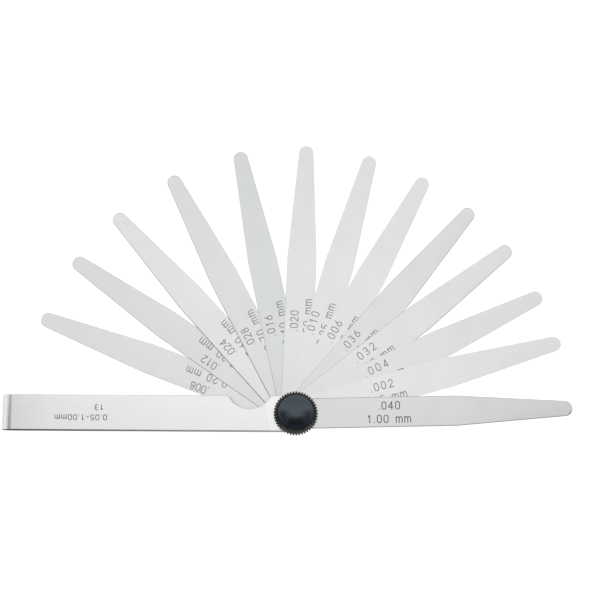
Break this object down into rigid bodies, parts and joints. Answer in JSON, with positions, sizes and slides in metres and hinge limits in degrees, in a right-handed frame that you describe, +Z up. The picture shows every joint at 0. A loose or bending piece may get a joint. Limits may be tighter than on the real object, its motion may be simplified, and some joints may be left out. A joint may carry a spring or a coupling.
{
  "type": "feeler gauge",
  "caption": "Folding feeler gauge: graded tapered steel blades fan out of a folded steel holder and are locked by a ribbed plastic clamp knob.",
  "frame": {"origin": "centre of the clamping screw head's flat underside, on the pivot axis", "axes": "+Z up the pivot axis to the knob, -X along the holder, +Y to the fanned-out blades"},
  "size_m": [0.1956, 0.1024, 0.0214],
  "materials": {
    "holder_steel": "satin nickel plate",
    "blade_steel": "ground bright",
    "screw_steel": "bright zinc plate",
    "washer_steel": "bright zinc plate",
    "knob_plastic": "moulded gloss",
    "insert_brass": "turned"
  },
  "bodies": {
    "holder": {"holder": "holder_steel", "clamp_screw": "screw_steel"},
    "blade_1_00": {"blade_1_00": "blade_steel"},
    "blade_0_05": {"blade_0_05": "blade_steel"},
    "blade_0_10": {"blade_0_10": "blade_steel"},
    "blade_0_80": {"blade_0_80": "blade_steel"},
    "blade_0_90": {"blade_0_90": "blade_steel"},
    "blade_0_15": {"blade_0_15": "blade_steel"},
    "blade_0_25": {"blade_0_25": "blade_steel"},
    "blade_0_50": {"blade_0_50": "blade_steel"},
    "blade_0_40": {"blade_0_40": "blade_steel"},
    "blade_0_70": {"blade_0_70": "blade_steel"},
    "blade_0_60": {"blade_0_60": "blade_steel"},
    "blade_0_30": {"blade_0_30": "blade_steel"},
    "blade_0_20": {"blade_0_20": "blade_steel"},
    "washer": {"clamp_washer": "washer_steel"},
    "knob": {"knob_cap": "knob_plastic", "knob_insert": "insert_brass"}
  },
  "joints": [
    {"name": "blade_1_00_turn", "type": "hinge", "parent": "holder", "child": "blade_1_00", "pos_m": [0, 0, 0.002], "axis": [0, 0, 1], "range_deg": [-181.5, 178.5]},
    {"name": "blade_0_05_turn", "type": "hinge", "parent": "holder", "child": "blade_0_05", "pos_m": [0, 0, 0.002], "axis": [0, 0, 1], "range_deg": [-195.5, 164.5]},
    {"name": "blade_0_10_turn", "type": "hinge", "parent": "holder", "child": "blade_0_10", "pos_m": [0, 0, 0.002], "axis": [0, 0, 1], "range_deg": [-206, 154]},
    {"name": "blade_0_80_turn", "type": "hinge", "parent": "holder", "child": "blade_0_80", "pos_m": [0, 0, 0.002], "axis": [0, 0, 1], "range_deg": [-218, 142]},
    {"name": "blade_0_90_turn", "type": "hinge", "parent": "holder", "child": "blade_0_90", "pos_m": [0, 0, 0.002], "axis": [0, 0, 1], "range_deg": [-229.5, 130.5]},
    {"name": "blade_0_15_turn", "type": "hinge", "parent": "holder", "child": "blade_0_15", "pos_m": [0, 0, 0.002], "axis": [0, 0, 1], "range_deg": [-241.5, 118.5]},
    {"name": "blade_0_25_turn", "type": "hinge", "parent": "holder", "child": "blade_0_25", "pos_m": [0, 0, 0.002], "axis": [0, 0, 1], "range_deg": [-254, 106]},
    {"name": "blade_0_50_turn", "type": "hinge", "parent": "holder", "child": "blade_0_50", "pos_m": [0, 0, 0.002], "axis": [0, 0, 1], "range_deg": [-268, 92]},
    {"name": "blade_0_40_turn", "type": "hinge", "parent": "holder", "child": "blade_0_40", "pos_m": [0, 0, 0.002], "axis": [0, 0, 1], "range_deg": [-282.5, 77.5]},
    {"name": "blade_0_70_turn", "type": "hinge", "parent": "holder", "child": "blade_0_70", "pos_m": [0, 0, 0.002], "axis": [0, 0, 1], "range_deg": [-298, 62]},
    {"name": "blade_0_60_turn", "type": "hinge", "parent": "holder", "child": "blade_0_60", "pos_m": [0, 0, 0.002], "axis": [0, 0, 1], "range_deg": [-312.5, 47.5]},
    {"name": "blade_0_30_turn", "type": "hinge", "parent": "holder", "child": "blade_0_30", "pos_m": [0, 0, 0.002], "axis": [0, 0, 1], "range_deg": [-325.5, 34.5]},
    {"name": "blade_0_20_turn", "type": "hinge", "parent": "holder", "child": "blade_0_20", "pos_m": [0, 0, 0.002], "axis": [0, 0, 1], "range_deg": [-339.5, 20.5]},
    {"name": "knob_travel", "type": "slide", "parent": "holder", "child": "washer", "axis": [0, 0, 1], "range_m": [0, 0.004]},
    {"name": "knob_turn", "type": "hinge", "parent": "washer", "child": "knob", "pos_m": [0, 0, 0.011], "axis": [0, 0, 1], "range_deg": [0, 1800]}
  ],
  "couplings": [
    {"joint": "knob_turn", "follows": "knob_travel", "rad_per_m": 7854}
  ]
}
